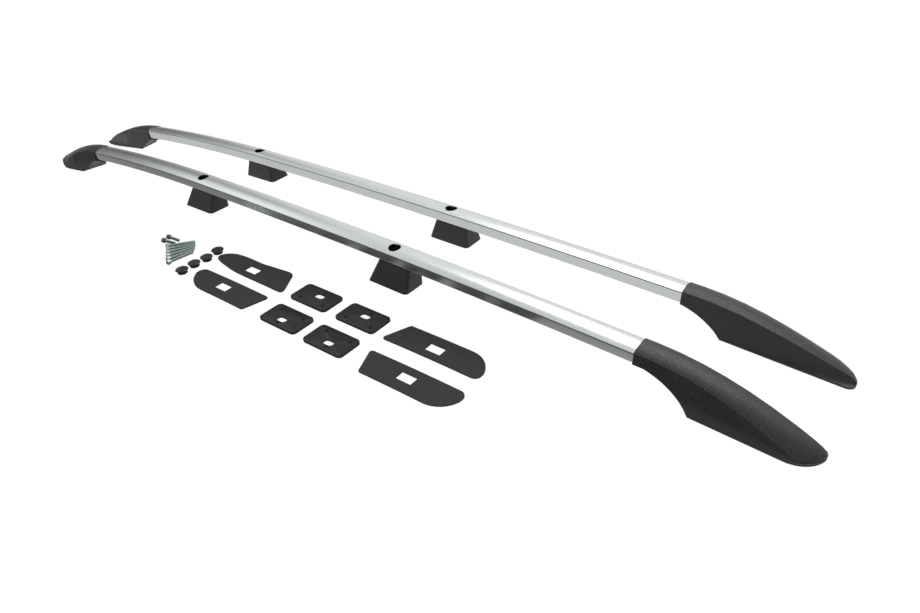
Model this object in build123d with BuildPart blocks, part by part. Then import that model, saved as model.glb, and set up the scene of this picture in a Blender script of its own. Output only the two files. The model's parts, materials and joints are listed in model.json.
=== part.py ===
import math
import os

from build123d import *

# Pair of roof side rails with their fitting kit laid out beside them, in millimetres.
# Origin on the floor under the crown line of the right-hand rail, midway along it.
# +X to the front of the car, +Y from the right-hand rail to the left-hand rail, +Z up.

# Whole rail, tip to tip, and its crown line: two arcs that meet level at the highest point
overall_length = 1850.0
crown_height = 101.3
apex_from_rear = 640.0
rear_bend_radius = 4500.0
front_bend_radius = 19300.0
front_foot_length = 257.0
rear_foot_length = 233.0

# Rail section
rail_width = 35.0
rail_base_width = 33.5
rail_depth = 22.4
dome_rise = 3.8
crown_tilt = 4.5
rail_wall = 2.2
rail_corner_radius = 1.2
shadow_groove_height = 2.0
shadow_groove_depth = 0.9
groove_below_crease = 0.7

# Access holes and the roof bolts below them
rear_hole_from_rear = 629.0
front_hole_from_rear = 1147.0
access_hole_diameter = 22.0
bolt_diameter = 6.0
bolt_clearance = 0.3
sleeve_wall = 1.7
sleeve_flange_diameter = 15.0
sleeve_flange_height = 1.5
sleeve_clearance = 0.2

# Mid feet: blocks between the rail and the roof
mid_foot_length = 87.0
mid_foot_width = 48.0
mid_foot_offset = 7.0
mid_foot_corner_radius = 8.0
mid_foot_top_radius = 4.0
mid_foot_rear_rake = 17.0
mid_foot_front_rake = 2.0
mid_foot_top_inset = 0.6
mid_foot_recess_height = 1.6
mid_foot_recess_depth = 1.0
mid_foot_wall = 3.2
mid_foot_roof = 4.0
mid_foot_rib = 2.4
mid_foot_rib_pitch = 40.0
rear_mid_foot_base_height = 41.7
front_mid_foot_base_height = 31.1

# End feet, the same for front and rear
collar_proud = 0.9
crease_edge_height = 1.2
crease_step = 0.7
crease_inset = 2.0
least_flank = 0.4
joint_lap = 6.0
body_stations = 7
nose_stations = 5
nose_overrun = 0.8
nose_dome_ratio = 0.14
flank_flare = 0.12
base_inner_edge = 20.0
base_outer_edge = 31.0
base_lip = 3.0
heel_corner_radius = 5.0
nose_corner_radius = 12.0
nose_tip_width = 5.0
spigot_length = 48.0
spigot_clearance = 0.25
spigot_lead = 1.5
spigot_lead_angle = 30.0
foot_wall = 4.5
foot_roof = 6.0
foot_rib = 2.4
foot_rib_pitch = 38.0
least_pocket = 1.0
boss_length = 29.0
boss_width = 16.5
boss_stand = 2.0
boss_offset = 3.0
insert_bore = 5.0
insert_wall = 2.0
insert_length = 12.0
insert_tip_room = 10.0

# Front end foot: runs from the joint towards the tip, the crease end, boss and pocket end back from the tip
front_collar_length = 19.0
front_collar_drop = 2.4
front_heel_inner = 66.5
front_heel_outer = 87.5
front_heel_height = 13.2
front_underside_slope = 0.25
front_tongue_length = 0.0
front_nose_run = 44.0
front_nose_height = 11.5
front_nose_radius = 12.0
front_shoulder_height = 45.0
front_crease_end = 25.0
front_crease_shoulder = 43.5
front_crown_flare = 12.5
front_boss_setback = 96.5
front_pocket_end = 20.0
front_screw_setback = 24.0

# Rear end foot, measured the same way
rear_collar_length = 6.0
rear_collar_drop = 4.5
rear_heel_inner = 48.0
rear_heel_outer = 61.0
rear_heel_height = 23.5
rear_underside_slope = 0.5
rear_tongue_length = 20.0
rear_nose_run = 58.0
rear_nose_height = 5.5
rear_nose_radius = 5.0
rear_shoulder_height = 44.0
rear_crease_end = 62.0
rear_crease_shoulder = 51.0
rear_crown_flare = 25.0
rear_boss_setback = 87.5
rear_pocket_end = 24.0
rear_screw_setback = 10.0

# Screws that hold each end foot to the rail from below
screw_diameter = 4.0
screw_hole_clearance = 0.2
screw_head_diameter = 8.0
screw_head_height = 2.4
screw_grip = 9.0
screw_tip_room = 1.0

# Left-hand rail: where the mirror image of the right-hand rail stands
rail_spacing = 158.4
left_rail_lag = 7.0
left_rail_turn = 1.04

# Gaskets for the end feet, laid out flat
gasket_thickness = 2.2
gasket_arch = 1.2
gasket_window_gap = 0.5

# Gaskets for the mid feet
pad_length = 87.0
pad_width = 50.0
pad_thickness = 3.0
pad_rim_height = 1.5
pad_rim_width = 2.5
pad_corner_radius = 8.0
pad_slot_length = 20.0
pad_slot_width = 11.5
pad_slot_offset = 6.0
left_rear_pad_slot_shift = 2.0
right_rear_pad_slot_shift = -5.0

# Plugs for the access holes, taken out and stood on the floor
plug_flange_diameter = 24.0
plug_height = 8.5
plug_flange_height = 2.0
plug_skirt_clearance = 0.2
plug_skirt_wall = 1.6
plug_dish_diameter = 17.0
plug_dish_depth = 0.8

# Bolts laid on the floor, all of one thread
bolt_head_diameter = 10.0
bolt_head_height = 6.0
bolt_socket_across = 5.0
bolt_socket_depth = 3.0
long_bolt_length = 50.0
short_bolt_length = 25.0

# Where the kit lies: X ahead of the rear tip of the rail, Y to the left of the crown line, gaskets by their tips
right_front_gasket_place = (1404.0, -166.0)
left_front_gasket_place = (1396.0, -94.0)
right_rear_gasket_place = (774.0, -155.0)
left_rear_gasket_place = (773.0, -92.3)
left_front_pad_place = (1144.0, -91.0)
left_rear_pad_place = (1032.0, -90.0)
right_front_pad_place = (1145.0, -165.0)
right_rear_pad_place = (1036.0, -162.4)
plug_places = ((746.0, -82.0), (750.0, -111.0), (748.0, -138.0), (749.0, -166.0))
long_bolt_count = 6
first_head, first_tip = (643.0, -122.0), (673.0, -80.0)
last_head, last_tip = (700.0, -159.0), (704.0, -103.0)
short_bolt_lines = (((614.0, -100.0), (645.0, -95.0)), ((618.0, -114.0), (641.0, -108.0)))


def ahead_of_rear(distance):
    """Place along X of a point this far ahead of the rear tip."""
    return distance - overall_length / 2


apex_x = ahead_of_rear(apex_from_rear)
rear_joint_x = ahead_of_rear(rear_foot_length)
front_joint_x = ahead_of_rear(overall_length - front_foot_length)
rear_hole_x = ahead_of_rear(rear_hole_from_rear)
front_hole_x = ahead_of_rear(front_hole_from_rear)


def crown_radius(x):
    return front_bend_radius if x > apex_x else rear_bend_radius


def crown_angle(x):
    return math.asin((x - apex_x) / crown_radius(x))


def crown_z(x):
    return crown_height - crown_radius(x) * (1 - math.cos(crown_angle(x)))


def crown_frame(x):
    """Plane on the crown line: local X forward along the rail, local Y to the left, local Z out of the crown."""
    angle = crown_angle(x)
    return Plane(
        (x, 0, crown_z(x)),
        x_dir=(math.cos(angle), 0, -math.sin(angle)),
        z_dir=(math.sin(angle), 0, math.cos(angle)),
    )


def crown_section(x):
    """Plane across the rail: local X to the left, local Y up."""
    frame = crown_frame(x)
    return Plane(frame.origin, x_dir=(0, 1, 0), z_dir=frame.x_dir)


def crown_arc(start_x, end_x):
    """Arc of the crown line between two places on the same side of the apex."""
    radius = crown_radius((start_x + end_x) / 2)
    start = math.degrees(math.asin((start_x - apex_x) / radius))
    end = math.degrees(math.asin((end_x - apex_x) / radius))
    return CenterArc((apex_x, crown_height - radius), radius, 90 - start, start - end)


def rail_outline(grow=0.0):
    """Closed section of the rail without its grooves, with the crown at the origin."""
    half = rail_width / 2 + grow
    lift = half * math.tan(math.radians(crown_tilt))
    inner_crease = (half, grow - dome_rise + lift)
    outer_crease = (-half, grow - dome_rise - lift)
    foot = rail_base_width / 2 + grow
    with BuildSketch() as outline:
        with BuildLine():
            ThreePointArc(outer_crease, (0, grow), inner_crease)
            Polyline(
                inner_crease,
                (foot, -rail_depth - grow),
                (-foot, -rail_depth - grow),
                outer_crease,
            )
        make_face()
        fillet(outline.vertices().group_by(Axis.Y)[0], rail_corner_radius)
    return outline.sketch


def rail_cavity(clearance=0.0):
    """Hollow of the rail, or of what slides into it with a clearance."""
    with BuildSketch() as hollow:
        add(rail_outline())
        offset(amount=-rail_wall - clearance, kind=Kind.INTERSECTION)
    return hollow.sketch


def crown_path():
    """The whole crown line from the rear joint to the front joint."""
    with BuildLine(Plane.XZ) as path:
        crown_arc(rear_joint_x, apex_x)
        crown_arc(apex_x, front_joint_x)
    return path.line


def side_grooves():
    """Shadow grooves that run under both crown edges."""
    half = rail_width / 2
    lift = half * math.tan(math.radians(crown_tilt))
    with BuildSketch() as grooves:
        for side in (1, -1):
            height = side * lift - dome_rise - groove_below_crease - shadow_groove_height / 2
            with Locations((side * half, height)):
                Rectangle(2 * shadow_groove_depth, shadow_groove_height)
    return grooves.sketch


def envelope():
    """The rail as one closed bar, to shape what bears against it."""
    with BuildPart() as bar:
        with BuildSketch(crown_section(rear_joint_x)):
            add(rail_outline())
        sweep(path=crown_path())
    return bar.part


rail_bar = envelope()
sleeve_bore = bolt_diameter + 2 * bolt_clearance
sleeve_diameter = sleeve_bore + 2 * sleeve_wall
insert_diameter = insert_bore + 2 * insert_wall
sleeve_hole_diameter = sleeve_diameter + 2 * sleeve_clearance

def mid_foot(hole_x, base_height):
    """Block that carries the rail, hollow underneath, with a tube for the roof bolt."""
    frame = crown_frame(hole_x)
    along, up = frame.x_dir, frame.z_dir
    base = Plane((hole_x, 0, base_height), x_dir=along, z_dir=up)
    axis = Plane(frame.origin, x_dir=along, z_dir=up)
    height = (frame.origin - base.origin).dot(up) - rail_depth
    shoulder = base.offset(height - mid_foot_recess_height)
    top_length = mid_foot_length - mid_foot_rear_rake - mid_foot_front_rake
    top_shift = (mid_foot_rear_rake - mid_foot_front_rake) / 2
    top_width = rail_base_width - 2 * mid_foot_top_inset
    with BuildPart() as hollow:
        with BuildSketch(base):
            with Locations((0, -mid_foot_offset)):
                Rectangle(mid_foot_length - 2 * mid_foot_wall, mid_foot_width - 2 * mid_foot_wall)
        with BuildSketch(shoulder.offset(-mid_foot_roof)):
            with Locations((top_shift, 0)):
                Rectangle(top_length - 2 * mid_foot_wall, top_width - 2 * mid_foot_wall)
        loft()
        with BuildSketch(base):
            with GridLocations(mid_foot_rib_pitch, 0, 2, 1):
                Rectangle(mid_foot_rib, 2 * mid_foot_width)
            Rectangle(2 * mid_foot_length, mid_foot_rib)
        extrude(amount=height, mode=Mode.SUBTRACT)
        with BuildSketch(axis):
            Circle(sleeve_hole_diameter / 2 + mid_foot_wall)
        extrude(amount=2 * crown_height, both=True, mode=Mode.SUBTRACT)
    with BuildPart() as block:
        with BuildSketch(base):
            with Locations((0, -mid_foot_offset)):
                RectangleRounded(mid_foot_length, mid_foot_width, mid_foot_corner_radius)
        with BuildSketch(shoulder):
            with Locations((top_shift, 0)):
                RectangleRounded(top_length, top_width, mid_foot_top_radius)
        loft()
        with BuildSketch(shoulder):
            with Locations((top_shift, 0)):
                RectangleRounded(
                    top_length - 2 * mid_foot_recess_depth,
                    top_width - 2 * mid_foot_recess_depth,
                    mid_foot_top_radius - mid_foot_recess_depth,
                )
        extrude(amount=2 * mid_foot_recess_height)
        add(rail_bar, mode=Mode.SUBTRACT)
        add(hollow.part, mode=Mode.SUBTRACT)
        with BuildSketch(axis):
            Circle(sleeve_hole_diameter / 2)
        extrude(amount=2 * crown_height, both=True, mode=Mode.SUBTRACT)
    return block.part


def curve_height(heights, share):
    """Height of a smooth line with its four control points a third of the run apart."""
    rest = 1 - share
    start, leaving, arriving, end = heights
    return start * rest**3 + 3 * leaving * rest**2 * share + 3 * arriving * rest * share**2 + end * share**3


class EndFoot:
    """One moulded end foot. Runs are measured from the joint towards the tip."""

    def __init__(self, way, joint_x, length, collar, heel, underside_slope, tongue_length, nose, crease, inside):
        self.way = way
        self.joint_x = joint_x
        self.length = length
        self.collar_length, self.collar_drop = collar
        self.heel_inner, self.heel_outer, self.heel_height = heel
        self.underside_slope = underside_slope
        self.tongue_length = tongue_length
        self.nose_run, self.nose_height, self.nose_radius, self.shoulder_height = nose
        crease_end, self.crease_shoulder, self.crown_flare = crease
        boss_setback, self.pocket_end, self.screw_setback = inside
        self.crease_run = length - crease_end
        self.boss_run = length - boss_setback
        self.slope = -way * math.tan(crown_angle(joint_x))
        self.underside_z = crown_z(joint_x) - rail_depth - self.collar_drop

    def plan(self, height=0.0):
        """Level plane with local X towards the tip and local Y to the left."""
        return Plane((self.joint_x, 0, height), x_dir=(self.way, 0, 0), z_dir=(0, 0, self.way))

    def side(self, left=0.0):
        """Upright plane along the rail with local X towards the tip and local Y up."""
        return Plane((self.joint_x, left, 0), x_dir=(self.way, 0, 0), z_dir=(0, -self.way, 0))

    def across(self, run):
        """Upright plane across the foot with local X to the left and local Y up."""
        return Plane((self.joint_x + self.way * run, 0, 0), x_dir=(0, 1, 0), z_dir=(1, 0, 0))

    def boss_face(self):
        """Face of the boss that stands out of the roof face, square to it."""
        fall = math.atan2(self.heel_height, self.length - self.heel_inner)
        face = Plane(
            (self.joint_x + self.way * self.boss_run, -boss_offset, self.base_height(self.boss_run)),
            x_dir=(self.way * math.cos(fall), 0, -math.sin(fall)),
            z_dir=(self.way * math.sin(fall), 0, math.cos(fall)),
        )
        return face.offset(-boss_stand)

    def screw_seat(self):
        """Plane under the head of the screw that holds the foot to the rail."""
        frame = crown_frame(self.joint_x - self.way * self.screw_setback)
        return frame.offset(-rail_depth - self.tongue_depth())

    def tongue_depth(self):
        """How far the tongue that runs on below the rail reaches under it, where there is one."""
        return self.collar_drop if self.tongue_length else 0

    def screw_length(self):
        return self.tongue_depth() + rail_wall + spigot_clearance + screw_grip

    def base_height(self, run):
        """Height of the roof face, which comes down to the floor at the tip."""
        return self.heel_height * (self.length - run) / (self.length - self.heel_inner)

    def outer_edge(self, run):
        """Distance of the outer edge of the roof face from the crown line."""
        depth = base_outer_edge + base_inner_edge - nose_corner_radius - nose_tip_width
        radius = (self.nose_run**2 + depth**2) / (2 * depth)
        past = max(run - (self.length - self.nose_run), 0)
        return base_outer_edge - radius + math.sqrt(radius**2 - past**2)

    def plan_outline(self, inner_start, outer_start):
        """Plan of the foot from a chosen start to its rounded nose."""
        tip, inner, outer = self.length, base_inner_edge, -base_outer_edge
        nose_side = inner - nose_corner_radius - nose_tip_width
        with BuildSketch() as outline:
            with BuildLine():
                start = Line((outer_start, outer), (inner_start, inner))
                inner_line = Line(start @ 1, (tip - nose_corner_radius, inner))
                corner = TangentArc(inner_line @ 1, (tip, inner - nose_corner_radius), tangent=(1, 0))
                end = Line(corner @ 1, (tip, nose_side))
                curve = TangentArc((tip - self.nose_run, outer), end @ 1, tangent=(1, 0))
                Line(curve @ 0, start @ 0)
            make_face()
        return outline.sketch

    def base_outline(self):
        """Plan of the roof face with its skewed heel."""
        with BuildSketch() as outline:
            add(self.plan_outline(self.heel_inner, self.heel_outer))
            fillet(outline.vertices().sort_by(Axis.X)[:2], heel_corner_radius)
        return outline.sketch

    def creases(self, run):
        """Points where the crown meets the inner and the outer flank, as distances to the left and heights."""
        half = rail_width / 2 + collar_proud
        lift = half * math.tan(math.radians(crown_tilt))
        joint_z = crown_z(self.joint_x) + collar_proud - dome_rise
        least_z = self.base_height(run) + base_lip + crease_edge_height + least_flank
        flow = max(run - self.collar_length, 0)
        flow_length = self.length - self.collar_length
        share = flow / flow_length
        lead = self.slope * min(run, self.collar_length)

        start = joint_z + lift + lead
        heights = (start, start + self.slope * flow_length / 3, self.shoulder_height, self.nose_height)
        inner_z = curve_height(heights, share)
        round_off = max(run - self.length + self.nose_radius, 0) / self.nose_radius
        inner_z = least_z + (inner_z - least_z) * math.sqrt(max(1 - round_off**2, 0))
        nose_inner = base_inner_edge - nose_corner_radius
        inner_y = curve_height((half, half, half, nose_inner), share)

        start = joint_z - lift + lead
        crease_flow = self.crease_run - self.collar_length
        meeting_z = self.base_height(self.crease_run) + base_lip + crease_edge_height + least_flank
        heights = (start, start + self.slope * crease_flow / 3, self.crease_shoulder, meeting_z)
        outer_z = max(curve_height(heights, min(flow / crease_flow, 1)), least_z)
        outer_y = -min(half + self.crown_flare * share**2, self.outer_edge(run) - crease_inset)
        return Vector(inner_y, inner_z), Vector(outer_y, outer_z)

    def section(self, run):
        """Section across the foot: a domed crown over two hollow flanks and an upright lip."""
        inner, outer = self.creases(run)
        share = max(run - self.collar_length, 0) / (self.length - self.collar_length)
        base_z = self.base_height(run)
        lip_z = base_z + base_lip
        edge_y = -self.outer_edge(run) - nose_overrun
        chord = inner - outer
        dome_ratio = dome_rise / rail_width + (nose_dome_ratio - dome_rise / rail_width) * share
        crown = (inner + outer) / 2 + Vector(-chord.Y, chord.X) * dome_ratio
        with BuildSketch(self.across(run)) as section:
            with BuildLine():
                ThreePointArc(outer, crown, inner)
                for crease, foot_y, turn in ((inner, base_inner_edge, -1), (outer, edge_y, 1)):
                    ledge = crease - Vector(0, crease_edge_height)
                    top = ledge + Vector(turn * crease_step, 0)
                    knee = Vector(top.X, lip_z + flank_flare * (top.Y - lip_z))
                    Line(crease, ledge)
                    Line(ledge, top)
                    Bezier(top, knee, (foot_y, lip_z))
                    Line((foot_y, lip_z), (foot_y, base_z))
                Line((base_inner_edge, base_z), (edge_y, base_z))
            make_face()
        return section.sketch

    def hollow(self, run):
        """Section of the hollow in the roof face, a wall inside the flanks and a roof below the crown."""
        inner, outer = self.creases(run)
        base_z = self.base_height(run)
        with BuildSketch(self.across(run)) as section:
            with BuildLine():
                tops, feet = [], []
                for crease, foot_y, turn in ((inner, base_inner_edge, -1), (outer, -base_outer_edge, 1)):
                    top_z = max(crease.Y - foot_roof, base_z + least_pocket)
                    top = Vector(crease.X + turn * foot_wall, top_z)
                    foot = Vector(foot_y + turn * foot_wall, base_z)
                    knee = Vector(top.X, base_z + flank_flare * (top_z - base_z))
                    Polyline(top, knee, foot, foot - Vector(0, boss_stand))
                    tops.append(top)
                    feet.append(foot - Vector(0, boss_stand))
                Line(*tops)
                Line(*feet)
            make_face()
        return section.sketch

    def stations(self):
        """Runs of the sections: evenly along the body, then closer round the nose."""
        nose_start = self.length - self.nose_run
        step = (nose_start - self.collar_length) / (body_stations - 1)
        body = [self.collar_length + step * n for n in range(body_stations)]
        turns = [math.radians(90 * (n + 1) / nose_stations) for n in range(nose_stations)]
        return body + [nose_start + self.nose_run * math.sin(turn) for turn in turns]


front_foot = EndFoot(
    1,
    front_joint_x,
    front_foot_length,
    (front_collar_length, front_collar_drop),
    (front_heel_inner, front_heel_outer, front_heel_height),
    front_underside_slope,
    front_tongue_length,
    (front_nose_run, front_nose_height, front_nose_radius, front_shoulder_height),
    (front_crease_end, front_crease_shoulder, front_crown_flare),
    (front_boss_setback, front_pocket_end, front_screw_setback),
)
rear_foot = EndFoot(
    -1,
    rear_joint_x,
    rear_foot_length,
    (rear_collar_length, rear_collar_drop),
    (rear_heel_inner, rear_heel_outer, rear_heel_height),
    rear_underside_slope,
    rear_tongue_length,
    (rear_nose_run, rear_nose_height, rear_nose_radius, rear_shoulder_height),
    (rear_crease_end, rear_crease_shoulder, rear_crown_flare),
    (rear_boss_setback, rear_pocket_end, rear_screw_setback),
)


with BuildPart() as right_rail:
    with BuildSketch(crown_section(rear_joint_x)):
        add(rail_outline())
        add(side_grooves(), mode=Mode.SUBTRACT)
        add(rail_cavity(), mode=Mode.SUBTRACT)
    sweep(path=crown_path())
    for hole_x in (rear_hole_x, front_hole_x):
        with BuildSketch(crown_frame(hole_x)):
            Circle(access_hole_diameter / 2)
        extrude(amount=rail_depth / 2, both=True, mode=Mode.SUBTRACT)
        with BuildSketch(crown_frame(hole_x).offset(-rail_depth)):
            Circle(sleeve_hole_diameter / 2)
        extrude(amount=2 * rail_wall, both=True, mode=Mode.SUBTRACT)
    for foot in (front_foot, rear_foot):
        with BuildSketch(foot.screw_seat()):
            Circle(screw_diameter / 2 + screw_hole_clearance)
        extrude(amount=foot.tongue_depth() + 2 * rail_wall, mode=Mode.SUBTRACT)


def foot_pocket(foot):
    """Hollow of the roof face between its ribs and round its boss."""
    pocket_length = foot.length - foot.pocket_end - foot.heel_inner
    with BuildPart() as pocket:
        for n in range(body_stations - 1):
            add(foot.hollow(foot.heel_inner + pocket_length * n / (body_stations - 2)))
        loft(ruled=True)
        with BuildSketch(foot.plan()):
            add(foot.base_outline())
            offset(amount=-foot_wall)
        extrude(amount=crown_height, both=True, mode=Mode.INTERSECT)
        with BuildSketch(foot.plan()):
            for n in range(-2, 3):
                with Locations((foot.boss_run + n * foot_rib_pitch, 0)):
                    Rectangle(foot_rib, 2 * rail_spacing)
            with Locations((foot.boss_run, -boss_offset)):
                Rectangle(2 * foot.length, foot_rib)
        extrude(amount=crown_height, both=True, mode=Mode.SUBTRACT)
        with BuildSketch(foot.boss_face()):
            Rectangle(boss_length, boss_width)
        extrude(amount=crown_height, both=True, mode=Mode.SUBTRACT)
    return pocket.part


def foot_underside(foot):
    """Hollow under the foot between the rail and the heel, swept along the skew of the heel."""
    behind = 2 * spigot_length
    with BuildPart() as void:
        with BuildSketch(foot.side(base_inner_edge)):
            with BuildLine():
                lead = Line((-behind, foot.underside_z - foot.slope * behind), (0, foot.underside_z))
                heel = (foot.heel_inner, foot.heel_height)
                arc = TangentArc(lead @ 1, heel, tangent=(1, -foot.underside_slope))
                Polyline(arc @ 1, (foot.heel_inner, -behind), (-behind, -behind), lead @ 0)
            make_face()
        skew = Vector(foot.way * (foot.heel_outer - foot.heel_inner), -base_inner_edge - base_outer_edge)
        extrude(amount=2 * skew.length, dir=skew.normalized(), both=True)
    return void.part


def end_foot(foot):
    """Moulded end foot with its spigot for the rail."""
    pocket = foot_pocket(foot)
    underside = foot_underside(foot)
    with BuildPart() as collar:
        add(foot.section(-joint_lap))
        add(foot.section(foot.collar_length))
        loft(ruled=True)
    with BuildPart() as moulding:
        for run in foot.stations():
            add(foot.section(run))
        loft(ruled=True)
        add(collar.part)
        with BuildSketch(foot.plan()):
            add(foot.plan_outline(-2 * joint_lap, -2 * joint_lap))
        extrude(amount=2 * crown_height, both=True, mode=Mode.INTERSECT)
        add(pocket, mode=Mode.SUBTRACT)
        add(underside, mode=Mode.SUBTRACT)
        split(bisect_by=crown_section(foot.joint_x), keep=Keep.TOP if foot.way > 0 else Keep.BOTTOM)
        if foot.tongue_length:
            with BuildSketch(foot.screw_seat()):
                shift = foot.screw_setback - (foot.tongue_length - joint_lap) / 2
                with Locations((foot.way * shift, 0)):
                    Rectangle(foot.tongue_length + joint_lap, rail_base_width - 2 * rail_corner_radius)
            extrude(amount=foot.collar_drop + joint_lap)
            add(rail_bar, mode=Mode.SUBTRACT)
        with BuildSketch(foot.boss_face()):
            Rectangle(boss_length, boss_width)
        extrude(amount=boss_stand + foot_wall)
        with BuildSketch(foot.boss_face()):
            Circle(insert_diameter / 2)
        extrude(amount=insert_length, mode=Mode.SUBTRACT)
        with BuildSketch(foot.boss_face()):
            Circle(bolt_diameter / 2 + bolt_clearance)
        extrude(amount=insert_length + insert_tip_room, mode=Mode.SUBTRACT)
        with BuildSketch(crown_section(foot.joint_x)):
            add(rail_cavity(spigot_clearance))
        spigot_end_x = foot.joint_x - foot.way * (spigot_length - spigot_lead)
        with BuildLine(Plane.XZ) as spigot_path:
            crown_arc(foot.joint_x, spigot_end_x)
        sweep(path=spigot_path.line)
        with BuildSketch(crown_section(spigot_end_x)):
            add(rail_cavity(spigot_clearance))
        extrude(amount=-foot.way * spigot_lead, taper=spigot_lead_angle)
        with BuildSketch(foot.screw_seat()):
            Circle(screw_diameter / 2)
        extrude(amount=foot.screw_length() + screw_tip_room, mode=Mode.SUBTRACT)
        if foot.tongue_length:
            with BuildSketch(foot.screw_seat()):
                Circle(screw_diameter / 2 + screw_hole_clearance)
            extrude(amount=foot.tongue_depth(), mode=Mode.SUBTRACT)
    return moulding.part


def insert(foot):
    """Threaded metal insert, flush with the face of its boss."""
    with BuildPart() as bush:
        with BuildSketch(foot.boss_face()):
            Circle(insert_diameter / 2)
            Circle(insert_bore / 2, mode=Mode.SUBTRACT)
        extrude(amount=insert_length)
    return bush.part


def foot_screws():
    """Screws that hold both end feet to one rail."""
    with BuildPart() as screws:
        for foot in (front_foot, rear_foot):
            seat = foot.screw_seat()
            with BuildSketch(seat):
                Circle(screw_diameter / 2)
            extrude(amount=foot.screw_length())
            with BuildSketch(seat):
                Circle(screw_head_diameter / 2)
            extrude(amount=-screw_head_height)
    return screws.part


def sleeve(hole_x, base_height):
    """Flanged sleeve that carries the roof bolt through the rail and the mid foot."""
    frame = crown_frame(hole_x)
    seat = frame.offset(rail_wall - rail_depth)
    length = (seat.origin - Vector(hole_x, 0, base_height)).dot(frame.z_dir)
    with BuildPart() as tube:
        with BuildSketch(seat):
            Circle(sleeve_diameter / 2)
        extrude(amount=-length)
        with BuildSketch(seat):
            Circle(sleeve_flange_diameter / 2)
        extrude(amount=sleeve_flange_height)
        with BuildSketch(seat.offset(sleeve_flange_height)):
            Circle(sleeve_bore / 2)
        extrude(amount=-2 * crown_height, mode=Mode.SUBTRACT)
    return tube.part


def end_gasket(foot):
    """Seal for the roof face of an end foot, gently arched where it lies."""
    heel_inner, length = foot.heel_inner, foot.length
    with BuildPart() as seal:
        with BuildSketch(Plane.XY):
            add(foot.base_outline())
            with Locations((foot.boss_run, -boss_offset)):
                Rectangle(
                    boss_length + 2 * gasket_window_gap,
                    boss_width + 2 * gasket_window_gap,
                    mode=Mode.SUBTRACT,
                )
        extrude(amount=2 * gasket_arch + gasket_thickness)
        with BuildSketch(Plane.XZ):
            with BuildLine():
                middle = (heel_inner + length) / 2
                under = ThreePointArc((heel_inner, 0), (middle, gasket_arch), (length, 0))
                over = ThreePointArc(
                    (heel_inner, gasket_thickness),
                    (middle, gasket_arch + gasket_thickness),
                    (length, gasket_thickness),
                )
                Line(under @ 0, over @ 0)
                Line(under @ 1, over @ 1)
            make_face()
        extrude(amount=2 * base_outer_edge, both=True, mode=Mode.INTERSECT)
    return seal.part.moved(Location((-length, 0, 0)))


def mid_gasket(slot_shift):
    """Seal for the roof face of a mid foot, with a raised rim."""
    with BuildPart() as pad:
        with BuildSketch(Plane.XY):
            RectangleRounded(pad_length, pad_width, pad_corner_radius)
        extrude(amount=pad_thickness + pad_rim_height)
        with BuildSketch(Plane.XY.offset(pad_thickness)):
            RectangleRounded(
                pad_length - 2 * pad_rim_width,
                pad_width - 2 * pad_rim_width,
                pad_corner_radius - pad_rim_width,
            )
        extrude(amount=pad_rim_height, mode=Mode.SUBTRACT)
        with BuildSketch(Plane.XY):
            with Locations((slot_shift, pad_slot_offset)):
                SlotOverall(pad_slot_length, pad_slot_width)
        extrude(amount=pad_thickness, mode=Mode.SUBTRACT)
    return pad.part


def hole_plug():
    """Plug for an access hole: a hollow skirt under a dished flange."""
    flange = plug_flange_diameter / 2
    skirt = access_hole_diameter / 2 - plug_skirt_clearance
    with BuildPart() as plug:
        with BuildSketch(Plane.XZ):
            with BuildLine():
                Polyline(
                    (skirt - plug_skirt_wall, 0),
                    (skirt, 0),
                    (skirt, plug_height - plug_flange_height),
                    (flange, plug_height - plug_flange_height),
                    (flange, plug_height),
                    (plug_dish_diameter / 2, plug_height),
                    (plug_dish_diameter / 2 - plug_dish_depth, plug_height - plug_dish_depth),
                    (0, plug_height - plug_dish_depth),
                    (0, plug_height - plug_flange_height),
                    (skirt - plug_skirt_wall, plug_height - plug_flange_height),
                    close=True,
                )
            make_face()
        revolve(axis=Axis.Z)
    return plug.part


def laid_bolt(length, head, tip):
    """Socket bolt lying on the floor, from a point under its head towards a point under its tip."""
    dip = math.atan2(bolt_head_diameter / 2 - bolt_diameter / 2, length)
    along = Vector(tip[0] - head[0], tip[1] - head[1]).normalized()
    axis = Vector(-along.X * math.cos(dip), -along.Y * math.cos(dip), math.sin(dip))
    origin = (head[0], head[1], bolt_head_diameter / 2 * math.cos(dip))
    shoulder = Plane(origin, z_dir=axis)
    with BuildPart() as bolt:
        with BuildSketch(shoulder.offset(-length)):
            Circle(bolt_diameter / 2)
        extrude(amount=length)
        with BuildSketch(shoulder):
            Circle(bolt_head_diameter / 2)
        extrude(amount=bolt_head_height)
        with BuildSketch(shoulder.offset(bolt_head_height)):
            RegularPolygon(bolt_socket_across / 2, 6, major_radius=False)
        extrude(amount=-bolt_socket_depth, mode=Mode.SUBTRACT)
    return bolt.part


def laid(piece, place, mirror_planes=()):
    """Copy of a kit piece, mirrored where asked and moved to its place on the floor."""
    for plane in mirror_planes:
        piece = mirror(piece, about=plane)
    with BuildPart() as copy:
        with Locations((ahead_of_rear(place[0]), place[1], 0)):
            add(piece)
    return copy.part


def between(first, last, share):
    """Floor point this share of the way from one point to another."""
    return tuple(a + (b - a) * share for a, b in zip(first, last))


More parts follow.
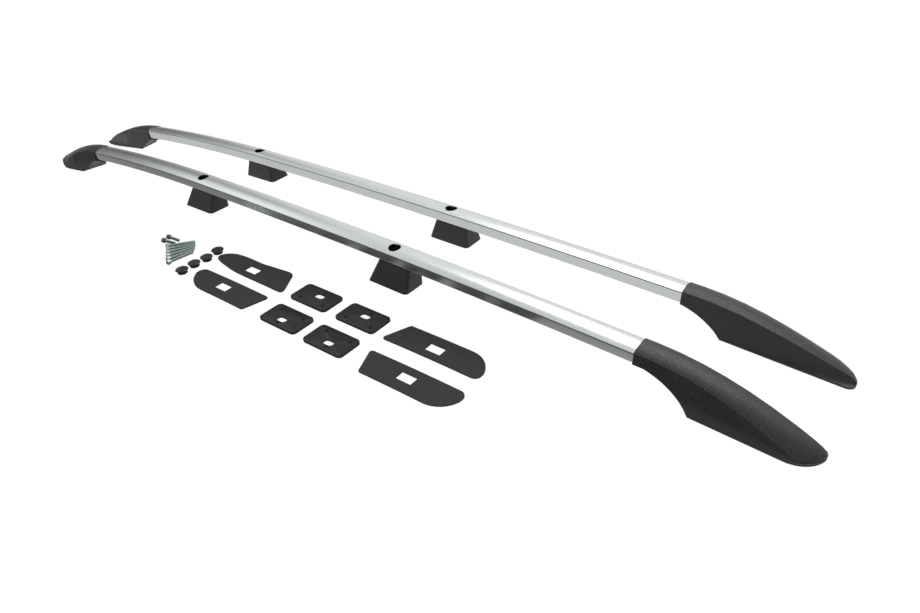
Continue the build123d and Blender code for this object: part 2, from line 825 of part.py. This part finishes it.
right_hand = {
    "rail": right_rail.part,
    "front_foot": end_foot(front_foot),
    "rear_foot": end_foot(rear_foot),
    "front_mid_foot": mid_foot(front_hole_x, front_mid_foot_base_height),
    "rear_mid_foot": mid_foot(rear_hole_x, rear_mid_foot_base_height),
    "front_insert": insert(front_foot),
    "rear_insert": insert(rear_foot),
    "foot_screws": foot_screws(),
    "front_sleeve": sleeve(front_hole_x, front_mid_foot_base_height),
    "rear_sleeve": sleeve(rear_hole_x, rear_mid_foot_base_height),
}
left_place = Location((-left_rail_lag, rail_spacing, 0), (0, 0, left_rail_turn))
nodes = {}
for name, piece in right_hand.items():
    nodes[f"right_{name}"] = piece
    mirrored = mirror(piece, about=Plane.XZ)
    with BuildPart() as left_copy:
        with Locations(left_place):
            add(mirrored)
    nodes[f"left_{name}"] = left_copy.part

front_gasket, rear_gasket = end_gasket(front_foot), end_gasket(rear_foot)
nodes["right_front_gasket"] = laid(front_gasket, right_front_gasket_place)
nodes["left_front_gasket"] = laid(front_gasket, left_front_gasket_place, (Plane.XZ,))
nodes["right_rear_gasket"] = laid(rear_gasket, right_rear_gasket_place, (Plane.YZ,))
nodes["left_rear_gasket"] = laid(rear_gasket, left_rear_gasket_place, (Plane.YZ, Plane.XZ))
front_pad = mid_gasket(0)
nodes["left_front_mid_gasket"] = laid(front_pad, left_front_pad_place)
nodes["left_rear_mid_gasket"] = laid(mid_gasket(left_rear_pad_slot_shift), left_rear_pad_place)
nodes["right_front_mid_gasket"] = laid(front_pad, right_front_pad_place, (Plane.XZ,))
right_rear_pad = mid_gasket(right_rear_pad_slot_shift)
nodes["right_rear_mid_gasket"] = laid(right_rear_pad, right_rear_pad_place, (Plane.XZ,))
plug = hole_plug()
for number, place in enumerate(plug_places, 1):
    nodes[f"hole_plug_{number}"] = laid(plug, place)

with BuildPart() as long_bolts:
    for number in range(long_bolt_count):
        share = number / (long_bolt_count - 1)
        head, tip = between(first_head, last_head, share), between(first_tip, last_tip, share)
        add(laid_bolt(long_bolt_length, head, tip))
with BuildPart() as short_bolts:
    for head, tip in short_bolt_lines:
        add(laid_bolt(short_bolt_length, head, tip))
nodes["long_bolts"] = laid(long_bolts.part, (0, 0))
nodes["short_bolts"] = laid(short_bolts.part, (0, 0))

os.makedirs("parts", exist_ok=True)
for name, piece in nodes.items():
    piece.label = name
    export_step(piece, f"parts/{name}.step")
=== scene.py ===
import json
import math

import bpy
from mathutils import Matrix, Vector


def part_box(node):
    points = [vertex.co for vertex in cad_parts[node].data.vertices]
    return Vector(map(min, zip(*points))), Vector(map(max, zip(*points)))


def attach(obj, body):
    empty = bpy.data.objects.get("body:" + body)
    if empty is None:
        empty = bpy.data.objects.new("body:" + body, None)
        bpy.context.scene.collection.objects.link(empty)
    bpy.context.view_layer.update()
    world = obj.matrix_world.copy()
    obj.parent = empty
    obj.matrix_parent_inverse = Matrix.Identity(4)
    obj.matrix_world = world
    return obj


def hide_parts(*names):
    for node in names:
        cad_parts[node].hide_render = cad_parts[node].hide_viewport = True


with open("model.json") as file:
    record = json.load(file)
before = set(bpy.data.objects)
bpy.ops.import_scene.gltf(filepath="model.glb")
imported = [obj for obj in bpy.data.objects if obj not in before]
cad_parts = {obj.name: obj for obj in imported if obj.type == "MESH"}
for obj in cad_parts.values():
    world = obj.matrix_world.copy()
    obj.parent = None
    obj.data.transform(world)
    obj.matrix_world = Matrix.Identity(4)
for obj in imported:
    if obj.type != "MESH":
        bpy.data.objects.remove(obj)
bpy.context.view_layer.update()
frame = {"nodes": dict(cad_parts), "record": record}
print("frame loaded:", len(frame["nodes"]), "nodes")


def metres(millimetres):
    return millimetres / 1000


# a colour written in hex, as linear light by the sRGB curve
def linear(hexText):
    colour = []
    for start in (1, 3, 5):
        channel = int(hexText[start:start + 2], 16) / 255
        colour.append(channel / 12.92 if channel <= 0.04045 else ((channel + 0.055) / 1.055) ** 2.4)
    return colour + [1.0]


# a socket is given by its name, or by its number where two share a name
def addNode(tree, kind, settings=None, values=None, feeds=None):
    node = tree.nodes.new(kind)
    for name, value in (settings or {}).items():
        setattr(node, name, value)
    for name, value in (values or {}).items():
        node.inputs[name].default_value = value
    for name, source in (feeds or {}).items():
        tree.links.new(source, node.inputs[name])
    return node


# the colour sockets of a Mix node
mixFirst, mixSecond, mixResult = 6, 7, 2


def newMaterial(name, shaderValues):
    material = bpy.data.materials.new(name)
    material.use_nodes = True
    tree = material.node_tree
    tree.nodes.clear()
    shader = addNode(tree, "ShaderNodeBsdfPrincipled", values=shaderValues)
    addNode(tree, "ShaderNodeOutputMaterial", feeds={"Surface": shader.outputs["BSDF"]})
    return material, tree, shader


# the noise behind every grain: where its gloss and its colour start and stop, and its octaves
noise = {"glossFrom": 0.35, "glossTo": 0.65, "toneFrom": 0.36, "toneTo": 0.68, "detail": 2.0}


# a grain: its width in mm, the range of its roughness, and its height in mm
def grain(tree, shader, width, roughness, height, stretch=(1, 1, 1), tone=None):
    coordinates = addNode(tree, "ShaderNodeTexCoord")
    mapping = addNode(
        tree, "ShaderNodeMapping", values={"Scale": stretch},
        feeds={"Vector": coordinates.outputs["Object"]},
    )
    grains = addNode(
        tree, "ShaderNodeTexNoise", values={"Scale": 1 / metres(width), "Detail": noise["detail"]},
        feeds={"Vector": mapping.outputs["Vector"]},
    )
    lowest, highest = roughness
    spread = addNode(
        tree, "ShaderNodeMapRange", feeds={"Value": grains.outputs["Fac"]},
        values={
            "From Min": noise["glossFrom"], "From Max": noise["glossTo"],
            "To Min": lowest, "To Max": highest,
        },
    )
    tree.links.new(spread.outputs["Result"], shader.inputs["Roughness"])
    rise = addNode(
        tree, "ShaderNodeBump", values={"Strength": 1.0, "Distance": metres(height)},
        feeds={"Height": grains.outputs["Fac"]},
    )
    tree.links.new(rise.outputs["Normal"], shader.inputs["Normal"])
    if tone:
        ramp = addNode(tree, "ShaderNodeValToRGB", feeds={"Fac": grains.outputs["Fac"]})
        stops = (noise["toneFrom"], noise["toneTo"])
        for element, position, colour in zip(ramp.color_ramp.elements, stops, tone):
            element.position = position
            element.color = linear(colour)
        tree.links.new(ramp.outputs["Color"], shader.inputs["Base Color"])


# finishes: every grain is drawn coarser than the real one, so that the camera can tell it
# satin anodised extrusion: fine die lines run the length of the rail
anodised = {"colour": "#DADDDE", "lineStretch": (0.004, 1, 1)}
anodisedAluminium, tree, shader = newMaterial("anodised_aluminium", {"Metallic": 1.0})
grain(tree, shader, width=0.8, roughness=(0.2, 0.27), height=0.001, stretch=anodised["lineStretch"])

# its shadow grooves are darkened with painted shade from ambient occlusion: reach in mm, and the shares of
# open sky from dark to bright
grooveShade = {"colour": "#2E3131", "reach": 2.4, "closed": 0.35, "open": 0.85, "samples": 8}
hollow = addNode(
    tree, "ShaderNodeAmbientOcclusion", {"samples": grooveShade["samples"], "only_local": True},
    {"Distance": metres(grooveShade["reach"])},
)
depth = addNode(
    tree, "ShaderNodeMapRange", values={"From Min": grooveShade["closed"], "From Max": grooveShade["open"]},
    feeds={"Value": hollow.outputs["AO"]},
)
# the painted shade: the grooves' dark colour is blended in where little open sky reaches
paintedGrooveShade = addNode(
    tree, "ShaderNodeMix", {"data_type": "RGBA"},
    {mixFirst: linear(grooveShade["colour"]), mixSecond: linear(anodised["colour"])},
    {"Factor": depth.outputs["Result"]},
)
tree.links.new(paintedGrooveShade.outputs[mixResult], shader.inputs["Base Color"])

# glass-filled nylon with a spark-eroded mould texture: its speckle is about 2 mm wide, coarser than real
texturedNylon, tree, shader = newMaterial("textured_nylon", {"Specular IOR Level": 0.5})
grain(tree, shader, width=2.1, roughness=(0.28, 0.58), height=0.4, tone=("#0A0A0B", "#292A2C"))

# moulded sealing rubber: a dusty, even black
sealRubber, tree, shader = newMaterial("seal_rubber", {"Specular IOR Level": 0.3})
grain(tree, shader, width=1.6, roughness=(0.62, 0.8), height=0.12, tone=("#262627", "#383837"))

# soft plastic of the hole plugs, smoother than the feet
plugPlastic, tree, shader = newMaterial("plug_polyethylene", {"Specular IOR Level": 0.5})
grain(tree, shader, width=0.9, roughness=(0.22, 0.34), height=0.02, tone=("#0D0D0E", "#1A1A1B"))

# zinc plate with the faint green-blue of its passivation
zincPlate, tree, shader = newMaterial(
    "zinc_plated_steel", {"Base Color": linear("#B4C1BF"), "Metallic": 1.0},
)
grain(tree, shader, width=0.7, roughness=(0.3, 0.46), height=0.008)

# the same plate gone dull and darker
darkPlate, tree, shader = newMaterial(
    "darkened_zinc_steel", {"Base Color": linear("#757B7C"), "Metallic": 1.0},
)
grain(tree, shader, width=0.7, roughness=(0.32, 0.48), height=0.008)

# brass turned bright, for the threaded inserts
turnedBrass, tree, shader = newMaterial("turned_brass", {"Base Color": linear("#C9A560"), "Metallic": 1.0})
grain(tree, shader, width=0.5, roughness=(0.25, 0.4), height=0.006)

finishOfSlot = {
    "anodised_rail": anodisedAluminium,
    "black_moulding": texturedNylon,
    "black_rubber": sealRubber,
    "black_plug": plugPlastic,
    "zinc_steel": zincPlate,
    "black_steel": darkPlate,
    "brass_insert": turnedBrass,
}
slotOfNode = {row["node"]: row["material_slot"] for row in frame["record"]["subparts"]}
for nodeName, nodeObject in frame["nodes"].items():
    for materialSlot in nodeObject.material_slots:
        materialSlot.material = finishOfSlot[slotOfNode[nodeName]]
print("finishes assigned")

# modelling helpers
mergeDistance = metres(0.002)
selectMargin = metres(0.01)


def deselectAll():
    bpy.ops.object.select_all(action="DESELECT")


def selectOnly(piece):
    deselectAll()
    piece.select_set(True)
    bpy.context.view_layer.objects.active = piece


def edit(piece):
    selectOnly(piece)
    bpy.ops.object.mode_set(mode="EDIT")
    bpy.ops.mesh.select_mode(type="VERT")


def endEdit():
    bpy.ops.object.mode_set(mode="OBJECT")


def selectWhere(piece, test):
    bpy.ops.mesh.select_all(action="DESELECT")
    endEdit()
    for vertex in piece.data.vertices:
        vertex.select = test(vertex.co)
    bpy.ops.object.mode_set(mode="EDIT")


# a merged copy of a CAD node's mesh, to be worked on
def copyOfNode(nodeName, pieceName):
    piece = bpy.data.objects.new(pieceName, frame["nodes"][nodeName].data.copy())
    bpy.context.scene.collection.objects.link(piece)
    edit(piece)
    bpy.ops.mesh.select_all(action="SELECT")
    bpy.ops.mesh.remove_doubles(threshold=mergeDistance)
    endEdit()
    return piece


# a copy with its own mesh at another place, with its faces turned back where that place mirrors it
def ownCopy(piece, pieceName, place):
    twin = bpy.data.objects.new(pieceName, piece.data.copy())
    bpy.context.scene.collection.objects.link(twin)
    twin.data.transform(place)
    if place.determinant() < 0:
        edit(twin)
        bpy.ops.mesh.select_all(action="SELECT")
        bpy.ops.mesh.flip_normals()
        endEdit()
    return twin


# the middle of a CAD node's box
def middleOf(nodeName):
    low, high = (Vector(corner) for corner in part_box(nodeName))
    return (low + high) / 2


def finishPiece(piece, nodeNames, smoothAngle=35):
    selectOnly(piece)
    bpy.ops.object.shade_smooth_by_angle(angle=math.radians(smoothAngle))
    slotName = slotOfNode[nodeNames[0]]
    piece.data.materials.clear()
    piece.data.materials.append(finishOfSlot[slotName])
    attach(piece, "root")
    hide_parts(*nodeNames)


# the left-hand rail is the mirror image of the right-hand one, lagging and turned a little: mm and degrees
leftRail = {"lag": 7, "spacing": 158.4, "turn": 1.04}
leftPlace = Matrix.Translation((-metres(leftRail["lag"]), metres(leftRail["spacing"]), 0))
leftPlace = leftPlace @ Matrix.Rotation(math.radians(leftRail["turn"]), 4, "Z")
leftPlace = leftPlace @ Matrix.Diagonal((1, -1, 1, 1))

# rear end feet: the plan draws in towards the tip, which the CAD leaves blunt, and the tip sinks a little
rearFoot = {
    "taperLength": 120, "cuts": 30,  # the length drawn in, in mm, and how many cuts shape it
    "pivot": 3,  # in mm across, the line that the plan draws in to
    "power": 0.5, "least": 0.32,  # the curve of the plan, and the share of its width left at the tip
    "lower": 0.7, "lowerPower": 6,  # the share of its height that the tip loses, and the curve of that
}
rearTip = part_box("right_rear_foot")[0][0]


# cuts the foot across, and shrinks all that lies behind each cut to the share wanted there
def taper(piece, tip, settings):
    cuts, length = settings["cuts"], metres(settings["taperLength"])
    share, lowShare = 1.0, 1.0
    edit(piece)
    for step in range(cuts):
        along = 1 - (step + 1) / cuts
        cut = tip + length * (along + 1 / cuts)
        bpy.ops.mesh.select_all(action="SELECT")
        bpy.ops.mesh.bisect(plane_co=(cut, 0, 0), plane_no=(1, 0, 0))
        wanted = max(along ** settings["power"], settings["least"])
        lowWanted = 1 - settings["lower"] * (1 - along) ** settings["lowerPower"]
        selectWhere(piece, lambda point: cut - point.x > selectMargin)
        bpy.ops.transform.resize(
            value=(1, wanted / share, lowWanted / lowShare),
            center_override=(cut, metres(settings["pivot"]), 0),
        )
        share, lowShare = wanted, lowWanted
    endEdit()


rightRearFoot = copyOfNode("right_rear_foot", "rightRearFoot")
taper(rightRearFoot, rearTip, rearFoot)
leftRearFoot = ownCopy(rightRearFoot, "leftRearFoot", leftPlace)
finishPiece(rightRearFoot, ["right_rear_foot"])
finishPiece(leftRearFoot, ["left_rear_foot"])
print("rear feet drawn in")

# rear gasket of the left-hand rail, which tapers to the first plug: x in mm ahead of the rear tip
rearGasket = {
    "outline": (
        (952, -112.3), (930, -112), (900, -111.6), (850, -111.2), (828, -110), (800, -105.6), (776, -100.5),
        (763.5, -95), (760.5, -89.5), (762.5, -82), (770, -74), (783, -67.5), (800, -64.4), (820, -63.2),
        (857, -63.6), (883, -61.2), (910, -58.4), (924, -57.2), (932.5, -57.9), (938.5, -62), (943.5, -70),
        (951, -83), (958.5, -96), (962.6, -104), (963, -108.5), (959.5, -111.6),
    ),
    "window": ((845.5, -98), (875.5, -98), (875.5, -80.6), (845.5, -80.6)),
    "thickness": 2.2, "edge": 0.3, "lift": 0.05,  # in mm: its rounded edge, and its gap to the floor
    "curveSteps": 10, "edgeSteps": 1,
}


def drawGasket(name, settings):
    deselectAll()
    bpy.ops.curve.primitive_bezier_circle_add()
    piece = bpy.context.object
    piece.name = name
    drawing = piece.data
    drawing.splines.clear()
    drawing.dimensions = "2D"
    drawing.fill_mode = "BOTH"
    for points, handle in ((settings["outline"], "AUTO"), (settings["window"], "VECTOR")):
        line = drawing.splines.new("BEZIER")
        line.bezier_points.add(len(points) - 1)
        line.use_cyclic_u = True
        line.resolution_u = settings["curveSteps"]
        for point, (x, y) in zip(line.bezier_points, points):
            point.co = (metres(x) + rearTip, metres(y), 0)
            point.handle_left_type = point.handle_right_type = handle
    halfThickness = settings["thickness"] / 2
    drawing.extrude = metres(halfThickness - settings["edge"])
    drawing.bevel_depth = metres(settings["edge"])
    drawing.bevel_resolution = settings["edgeSteps"]
    bpy.ops.object.convert(target="MESH")
    piece = bpy.context.object
    edit(piece)
    bpy.ops.mesh.select_all(action="SELECT")
    bpy.ops.mesh.remove_doubles(threshold=mergeDistance)
    bpy.ops.mesh.normals_make_consistent(inside=False)
    bpy.ops.transform.translate(value=(0, 0, metres(halfThickness + settings["lift"])))
    endEdit()
    return piece


leftRearGasket = drawGasket("leftRearGasket", rearGasket)
finishPiece(leftRearGasket, ["left_rear_gasket"])
print("rear gasket drawn")

# hole plugs: a hollow skirt under a rounded flange with a raised ring and a dish, radius and height in mm
holePlug = {
    "count": 4, "sides": 48,
    "outline": (
        (7.8, 6.3), (7.8, 0.3), (8.1, 0), (8.9, 0), (9.2, 0.4), (9.4, 4), (9.8, 4.6), (9.4, 5.2),  # skirt
        (9.4, 6.4), (11.6, 6.4), (12, 6.8), (12, 7.3), (11.8, 7.9), (11.2, 8.3), (10.4, 8.5),  # flange
        (9.4, 8.5), (8.8, 8.3), (8.4, 7.8), (8, 7.6), (5.6, 7.6),  # dish
        (5.2, 8), (4.4, 8), (4, 7.6), (0.6, 7.6),  # ring
    ),
}


# a round shape, closed at both ends, from rings that are each a radius and a height in mm
def skinRings(name, rings, sides):
    deselectAll()
    (radius, height), *others = [(metres(radius), metres(height)) for radius, height in rings]
    bpy.ops.mesh.primitive_circle_add(
        vertices=sides, radius=radius, fill_type="NOTHING", location=(0, 0, height),
    )
    piece = bpy.context.object
    piece.name = name
    bpy.ops.object.transform_apply(location=True, rotation=True, scale=True)
    edit(piece)
    bpy.ops.mesh.select_all(action="SELECT")
    bpy.ops.mesh.edge_face_add()
    for nextRadius, nextHeight in others:
        bpy.ops.mesh.extrude_region_move(TRANSFORM_OT_translate={"value": (0, 0, nextHeight - height)})
        grow = nextRadius / radius
        bpy.ops.transform.resize(value=(grow, grow, 1), center_override=(0, 0, nextHeight))
        radius, height = nextRadius, nextHeight
    bpy.ops.mesh.select_all(action="SELECT")
    bpy.ops.mesh.normals_make_consistent(inside=False)
    endEdit()
    return piece


# takes a cutter's shape out of a piece
def cutOut(piece, cutter):
    selectOnly(piece)
    cut = piece.modifiers.new("cut", "BOOLEAN")
    cut.operation = "DIFFERENCE"
    cut.object = cutter
    cut.solver = "EXACT"
    bpy.ops.object.modifier_apply(modifier=cut.name)
    bpy.data.objects.remove(cutter)


plugPattern = skinRings("plugPattern", holePlug["outline"], holePlug["sides"])
for number in range(1, holePlug["count"] + 1):
    middle = middleOf(f"hole_plug_{number}")
    plug = ownCopy(plugPattern, f"holePlug{number}", Matrix.Translation((middle.x, middle.y, 0)))
    finishPiece(plug, [f"hole_plug_{number}"])
bpy.data.objects.remove(plugPattern)
print("hole plugs made")

# mid-foot gaskets: three pin recesses each, placed in mm from the middle, and mirrored as each gasket lies
midGasket = {
    "pits": ((-26, -13), (29, -13), (4.5, 15.6)), "pitRadius": 3.5, "pitDepth": 2.6, "surface": 3,
    "floorShare": 0.7,  # of the radius, at the pit's floor
    "wallShare": 0.6,  # of the depth, where the wall turns upright
    "sides": 20,
    "mirrored": {
        "left_front": (1, 1), "left_rear": (1, 1), "right_front": (1, -1), "right_rear": (-1, -1),
    },
}


def modelPit(settings):
    radius, depth, surface = settings["pitRadius"], settings["pitDepth"], settings["surface"]
    rings = (
        (radius * settings["floorShare"], surface - depth),
        (radius, surface - depth * settings["wallShare"]),
        (radius, surface + depth),
    )
    return skinRings("pit", rings, settings["sides"])


for corner, (alongSign, acrossSign) in midGasket["mirrored"].items():
    nodeName = f"{corner}_mid_gasket"
    middle = middleOf(nodeName)
    gasket = copyOfNode(nodeName, corner.replace("_", "") + "MidGasket")
    for x, y in midGasket["pits"]:
        pit = modelPit(midGasket)
        offset = Vector((middle.x + metres(alongSign * x), middle.y + metres(acrossSign * y), 0))
        pit.data.transform(Matrix.Translation(offset))
        cutOut(gasket, pit)
    finishPiece(gasket, [nodeName])
print("mid-foot gaskets pitted")

# socket bolts, threaded up to a plain neck, in mm: a row's heads lie along one line, its tips along another
bolt = {"shank": 3, "root": 2.5, "pitch": 1, "point": 0.9, "neck": 2, "sides": 20, "smoothAngle": 30}
boltHead = {
    "radius": 5, "height": 6, "edge": 0.5, "socketRadius": 2.89, "socketDepth": 3, "socketSides": 6,
    "cutterRoom": 1,  # how far the socket's cutter stands out of the head
}
boltRows = {
    "longBolts": {
        "node": "long_bolts", "length": 50, "count": 6,
        "heads": ((-282, -122), (-225, -159)), "tips": ((-252, -80), (-221, -103)),
    },
    "shortBolts": {
        "node": "short_bolts", "length": 25, "count": 2,
        "heads": ((-311, -100), (-307, -114)), "tips": ((-280, -95), (-284, -108)),
    },
}


# a bolt that stands on its tip, with the underside of its head at the origin
def modelBolt(length):
    shank, pitch = bolt["shank"], bolt["pitch"]
    height = bolt["point"] - length
    rings = [(shank - bolt["point"], -length), (shank, height)]
    while height + pitch < -bolt["neck"]:
        rings += [(bolt["root"], height + pitch / 2), (shank, height + pitch)]
        height += pitch
    radius, edge, top = boltHead["radius"], boltHead["edge"], boltHead["height"]
    rings += [(shank, 0), (radius - edge / 2, 0), (radius, edge / 2)]
    rings += [(radius, top - edge), (radius - edge, top)]
    piece = skinRings("boltPattern", rings, bolt["sides"])
    socketRadius = boltHead["socketRadius"]
    socket = ((socketRadius, top - boltHead["socketDepth"]), (socketRadius, top + boltHead["cutterRoom"]))
    cutOut(piece, skinRings("socket", socket, boltHead["socketSides"]))
    return piece


def floorPoint(ends, share):
    first, last = (Vector((metres(x), metres(y), 0)) for x, y in ends)
    return first.lerp(last, share)


# lays a bolt down on its head and its tip
def layBolt(pattern, name, head, tip, length):
    dip = math.atan2(boltHead["radius"] - bolt["shank"], length)
    along = (tip - head).normalized()
    axis = -along * math.cos(dip) + Vector((0, 0, math.sin(dip)))
    place = Matrix.Translation(head + Vector((0, 0, metres(boltHead["radius"]) * math.cos(dip))))
    turn = Vector((0, 0, 1)).rotation_difference(axis).to_matrix().to_4x4()
    return ownCopy(pattern, name, place @ turn)


for name, row in boltRows.items():
    pattern = modelBolt(row["length"])
    bolts = []
    for number in range(row["count"]):
        share = number / (row["count"] - 1)
        head, tip = floorPoint(row["heads"], share), floorPoint(row["tips"], share)
        bolts.append(layBolt(pattern, f"{name}{number + 1}", head, tip, row["length"]))
    bpy.data.objects.remove(pattern)
    selectOnly(bolts[0])
    for laid in bolts:
        laid.select_set(True)
    bpy.ops.object.join()
    bolts[0].name = name
    finishPiece(bolts[0], [row["node"]], bolt["smoothAngle"])
print("bolts threaded")
print("all pieces made")

# camera, from the photograph's own perspective: place in metres, angles in degrees, lens and sensor in mm
view = {
    "place": (0.9969, -0.7759, 0.7075), "pitch": 34.17, "yaw": -39.63, "roll": 3.89,
    "lens": 29.31, "sensor": 36,
}
pitch, yaw, roll = (math.radians(view[name]) for name in ("pitch", "yaw", "roll"))
ahead = Vector((math.sin(yaw) * math.cos(pitch), math.cos(yaw) * math.cos(pitch), -math.sin(pitch)))
level = Vector((math.cos(yaw), -math.sin(yaw), 0))
down = ahead.cross(level)
across = level * math.cos(roll) + down * math.sin(roll)
upward = level * math.sin(roll) - down * math.cos(roll)
turned = Matrix((across, upward, -ahead)).transposed().to_4x4()
camera = bpy.data.objects.new("camera", bpy.data.cameras.new("camera"))
bpy.context.scene.collection.objects.link(camera)
camera.data.lens = view["lens"]
camera.data.sensor_width = view["sensor"]
camera.matrix_world = Matrix.Translation(view["place"]) @ turned
bpy.context.scene.camera = camera

# floor: white to the camera with a faint shadow, and to metal a painted reflection that glows grey in front
# of the near rail, in metres
paperFloor = {
    "size": 30, "drop": 0.0005, "colour": "#A6A6A6", "whiteShare": 0.88, "whiteStrength": 1.12,
    "greyUpTo": -0.11, "paleFrom": 0.0, "grey": 0.2, "pale": 0.74,
}
white = linear("#FFFFFF")
deselectAll()
bpy.ops.mesh.primitive_plane_add(size=paperFloor["size"], location=(0, 0, -paperFloor["drop"]))
floor = bpy.context.object
floor.name = "floor"
paper = bpy.data.materials.new("white_paper")
paper.use_nodes = True
tree = paper.node_tree
tree.nodes.clear()
rays = addNode(tree, "ShaderNodeLightPath")
coordinates = addNode(tree, "ShaderNodeTexCoord")
axes = addNode(tree, "ShaderNodeSeparateXYZ", feeds={"Vector": coordinates.outputs["Object"]})
paintedReflectionFade = addNode(
    tree, "ShaderNodeMapRange", feeds={"Value": axes.outputs["Y"]},
    values={
        "From Min": paperFloor["greyUpTo"], "From Max": paperFloor["paleFrom"],
        "To Min": paperFloor["grey"], "To Max": paperFloor["pale"],
    },
)
matt = addNode(tree, "ShaderNodeBsdfDiffuse", values={"Color": linear(paperFloor["colour"])})
glow = addNode(
    tree, "ShaderNodeEmission", values={"Color": white, "Strength": paperFloor["whiteStrength"]},
)
lift = addNode(
    tree, "ShaderNodeMath", {"operation": "MULTIPLY"}, {1: paperFloor["whiteShare"]},
    {0: rays.outputs["Is Camera Ray"]},
)
lifted = addNode(
    tree, "ShaderNodeMixShader",
    feeds={"Fac": lift.outputs["Value"], 1: matt.outputs["BSDF"], 2: glow.outputs["Emission"]},
)
# a painted reflection: the floor glows only for glossy rays, grey in front of the near rail and pale beyond
mirrored = addNode(
    tree, "ShaderNodeEmission", values={"Color": white}, feeds={"Strength": paintedReflectionFade.outputs["Result"]},
)
paperLook = addNode(
    tree, "ShaderNodeMixShader",
    feeds={
        "Fac": rays.outputs["Is Glossy Ray"],
        1: lifted.outputs["Shader"],
        2: mirrored.outputs["Emission"],
    },
)
addNode(tree, "ShaderNodeOutputMaterial", feeds={"Surface": paperLook.outputs["Shader"]})
floor.data.materials.append(paper)

# room: white to the camera; metal mirrors a tone by its direction across the rails, which changes along them
room = {
    "light": 0.5, "gain": 1.45,
    "tones": (  # as the rails mirror them at the rear, in the middle and at the front
        ((0.0, "#787878"), (0.2, "#666666"), (0.4, "#4A4A4A"), (0.5, "#484848"), (0.7, "#5C5C5C")),
        ((0.0, "#FFFFFF"), (0.12, "#FFFFFF"), (0.22, "#E5E5E5"), (0.42, "#909090"), (0.66, "#C4C4C4")),
        ((0.0, "#B8B8B8"), (0.1, "#BABABA"), (0.3, "#C8C8C8"), (0.5, "#CECECE"), (0.8, "#CECECE")),
    ),
    "along": (-0.89, -0.75, -0.62),
}
world = bpy.data.worlds.new("studio")
bpy.context.scene.world = world
world.use_nodes = True
tree = world.node_tree
tree.nodes.clear()
rays = addNode(tree, "ShaderNodeLightPath")
coordinates = addNode(tree, "ShaderNodeTexCoord")
axes = addNode(tree, "ShaderNodeSeparateXYZ", feeds={"Vector": coordinates.outputs["Generated"]})
tones = []
for stops in room["tones"]:
    ramp = addNode(tree, "ShaderNodeValToRGB", feeds={"Fac": axes.outputs["Y"]})
    while len(ramp.color_ramp.elements) < len(stops):
        ramp.color_ramp.elements.new(stops[-1][0])
    for element, (position, colour) in zip(ramp.color_ramp.elements, stops):
        element.position = position
        element.color = linear(colour)
    tones.append(ramp.outputs["Color"])
mirroredRoom = tones[0]
for number, tone in enumerate(tones[1:]):
    start, end = room["along"][number:number + 2]
    turnTo = addNode(
        tree, "ShaderNodeMapRange", values={"From Min": start, "From Max": end},
        feeds={"Value": axes.outputs["X"]},
    )
    mixed = addNode(
        tree, "ShaderNodeMix", {"data_type": "RGBA"},
        feeds={"Factor": turnTo.outputs["Result"], mixFirst: mirroredRoom, mixSecond: tone},
    )
    mirroredRoom = mixed.outputs[mixResult]
lit = addNode(tree, "ShaderNodeBackground", values={"Color": white, "Strength": room["light"]})
glossy = addNode(
    tree, "ShaderNodeBackground", values={"Strength": room["gain"]}, feeds={"Color": mirroredRoom},
)
seen = addNode(tree, "ShaderNodeBackground", values={"Color": white, "Strength": 1.0})
lighting = addNode(
    tree, "ShaderNodeMixShader",
    feeds={
        "Fac": rays.outputs["Is Glossy Ray"],
        1: lit.outputs["Background"],
        2: glossy.outputs["Background"],
    },
)
straight = addNode(
    tree, "ShaderNodeMath", {"operation": "MAXIMUM"},
    feeds={0: rays.outputs["Is Camera Ray"], 1: rays.outputs["Is Transmission Ray"]},
)
roomLook = addNode(
    tree, "ShaderNodeMixShader",
    feeds={
        "Fac": straight.outputs["Value"],
        1: lighting.outputs["Shader"],
        2: seen.outputs["Background"],
    },
)
addNode(tree, "ShaderNodeOutputWorld", feeds={"Surface": roomLook.outputs["Shader"]})

# softboxes, in metres and watts, both aimed at the frame's origin
softboxes = {
    "keySoftbox": {"place": (0.4, 1.3, 2.2), "size": (2.6, 1.6), "power": 34, "mirrored": True},
    "fillSoftbox": {"place": (1.4, -1.8, 1.8), "size": (1.8, 1.4), "power": 10, "mirrored": False},
}
for name, row in softboxes.items():
    light = bpy.data.lights.new(name, "AREA")
    light.shape = "RECTANGLE"
    light.size, light.size_y = row["size"]
    light.energy = row["power"]
    lamp = bpy.data.objects.new(name, light)
    bpy.context.scene.collection.objects.link(lamp)
    lamp.location = row["place"]
    lamp.rotation_euler = (-Vector(row["place"])).to_track_quat("-Z", "Y").to_euler()
    lamp.visible_glossy = row["mirrored"]
bpy.context.scene.view_settings.view_transform = "Standard"
print("camera, floor and light set")
